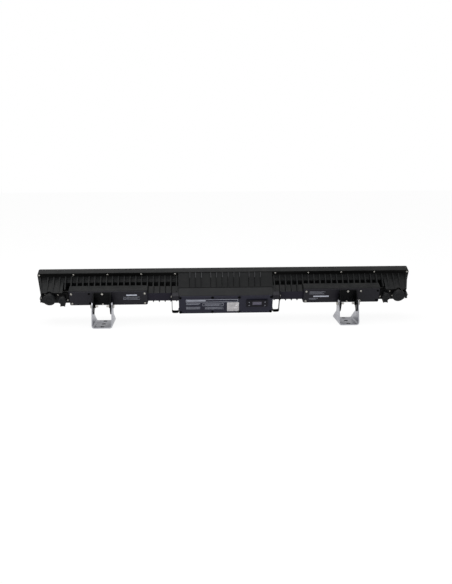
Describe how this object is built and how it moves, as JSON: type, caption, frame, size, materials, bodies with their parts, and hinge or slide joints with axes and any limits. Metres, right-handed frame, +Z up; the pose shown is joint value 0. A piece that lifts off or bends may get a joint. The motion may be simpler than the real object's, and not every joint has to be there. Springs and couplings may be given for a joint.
{
  "type": "led wash bar light",
  "caption": "Long black cast bar light with a glass front, lenses, finned rear, control box with display, flapped sockets and hinged silver yokes.",
  "frame": {"origin": "middle of the bounding box's bottom, on the surface that both yokes stand on", "axes": "+X along the bar, +Y the way the light leaves (it also rises), +Z up"},
  "size_m": [1, 0.123, 0.1442],
  "materials": {
    "cast_black": "cast, painted satin black",
    "frame_black": "painted satin black",
    "box_black": "painted satin black",
    "plate_black": "painted satin black",
    "cover_black": "painted satin black",
    "bracket_black": "black, semi gloss",
    "silver_yoke": "satin",
    "bare_steel": "bright",
    "bright_screw": "bright zinc",
    "washer_black": "matt",
    "nut_black": "black oxide",
    "seal_rubber": "matt",
    "front_glass": "clear",
    "clear_lens": "clear",
    "holder_black": "matt",
    "white_board": "white solder mask",
    "green_board": "green solder mask",
    "zinc_case": "bare",
    "bezel_black": "matt",
    "display_window": "clear, tinted",
    "socket_black": "matt",
    "flap_black": "matt",
    "button_grey": "matt"
  },
  "bodies": {
    "head": {"housing": "cast_black", "front_frame": "frame_black", "glass_gasket": "seal_rubber", "front_glass": "front_glass", "lens_holder": "holder_black", "lens_array": "clear_lens", "led_board": "white_board", "control_box": "box_black", "control_gasket": "seal_rubber", "control_plate": "plate_black", "display_bezel": "bezel_black", "display_window": "display_window", "control_board": "green_board", "power_supply": "zinc_case", "left_driver_cover": "cover_black", "left_cover_gasket": "seal_rubber", "left_led_driver": "zinc_case", "left_loop_lug": "cover_black", "left_side_loop": "bare_steel", "left_bracket_channel": "bracket_black", "left_channel_screw_upper": "bright_screw", "left_channel_screw_lower": "bright_screw", "left_pivot_bolt_inner": "bright_screw", "left_pivot_bolt_outer": "bright_screw", "left_pivot_washer_inner": "washer_black", "left_pivot_washer_outer": "washer_black", "left_pivot_nut_inner": "nut_black", "left_pivot_nut_outer": "nut_black", "left_power_socket": "socket_black", "left_data_socket": "socket_black", "left_power_flap_pin": "bright_screw", "left_data_flap_pin": "bright_screw", "right_driver_cover": "cover_black", "right_cover_gasket": "seal_rubber", "right_led_driver": "zinc_case", "right_loop_lug": "cover_black", "right_side_loop": "bare_steel", "right_bracket_channel": "bracket_black", "right_channel_screw_upper": "bright_screw", "right_channel_screw_lower": "bright_screw", "right_pivot_bolt_inner": "bright_screw", "right_pivot_bolt_outer": "bright_screw", "right_pivot_washer_inner": "washer_black", "right_pivot_washer_outer": "washer_black", "right_pivot_nut_inner": "nut_black", "right_pivot_nut_outer": "nut_black", "right_power_socket": "socket_black", "right_data_socket": "socket_black", "right_power_flap_pin": "bright_screw", "right_data_flap_pin": "bright_screw"},
    "left_power_flap": {"left_power_flap": "flap_black"},
    "left_data_flap": {"left_data_flap": "flap_black"},
    "left_yoke": {"left_yoke": "silver_yoke"},
    "right_power_flap": {"right_power_flap": "flap_black"},
    "right_data_flap": {"right_data_flap": "flap_black"},
    "right_yoke": {"right_yoke": "silver_yoke"},
    "menu_button_1": {"menu_button_1": "button_grey"},
    "menu_button_2": {"menu_button_2": "button_grey"},
    "menu_button_3": {"menu_button_3": "button_grey"},
    "menu_button_4": {"menu_button_4": "button_grey"}
  },
  "joints": [
    {"name": "left_yoke_hinge", "type": "hinge", "parent": "head", "child": "left_yoke", "pos_m": [-0.3255, -0.03846, 0.0545], "axis": [1, 0, 0], "range_deg": [-150, 30]},
    {"name": "left_power_flap_hinge", "type": "hinge", "parent": "head", "child": "left_power_flap", "pos_m": [-0.486, -0.02575, 0.07073], "axis": [0, 0.4147, -0.91], "range_deg": [0, 110]},
    {"name": "left_data_flap_hinge", "type": "hinge", "parent": "head", "child": "left_data_flap", "pos_m": [-0.432, -0.01837, 0.05454], "axis": [1, 0, 0], "range_deg": [0, 110]},
    {"name": "right_yoke_hinge", "type": "hinge", "parent": "head", "child": "right_yoke", "pos_m": [0.3255, -0.03846, 0.0545], "axis": [1, 0, 0], "range_deg": [-150, 30]},
    {"name": "right_power_flap_hinge", "type": "hinge", "parent": "head", "child": "right_power_flap", "pos_m": [0.486, -0.02575, 0.07073], "axis": [0, -0.4147, 0.91], "range_deg": [0, 110]},
    {"name": "right_data_flap_hinge", "type": "hinge", "parent": "head", "child": "right_data_flap", "pos_m": [0.432, -0.01837, 0.05454], "axis": [1, 0, 0], "range_deg": [0, 110]},
    {"name": "menu_button_1_slide", "type": "slide", "parent": "head", "child": "menu_button_1", "axis": [0, 0.91, 0.4147], "range_m": [0, 0.0008], "stiffness_N_per_m": 400, "springref_m": -0.0008},
    {"name": "menu_button_2_slide", "type": "slide", "parent": "head", "child": "menu_button_2", "axis": [0, 0.91, 0.4147], "range_m": [0, 0.0008], "stiffness_N_per_m": 400, "springref_m": -0.0008},
    {"name": "menu_button_3_slide", "type": "slide", "parent": "head", "child": "menu_button_3", "axis": [0, 0.91, 0.4147], "range_m": [0, 0.0008], "stiffness_N_per_m": 400, "springref_m": -0.0008},
    {"name": "menu_button_4_slide", "type": "slide", "parent": "head", "child": "menu_button_4", "axis": [0, 0.91, 0.4147], "range_m": [0, 0.0008], "stiffness_N_per_m": 400, "springref_m": -0.0008}
  ]
}
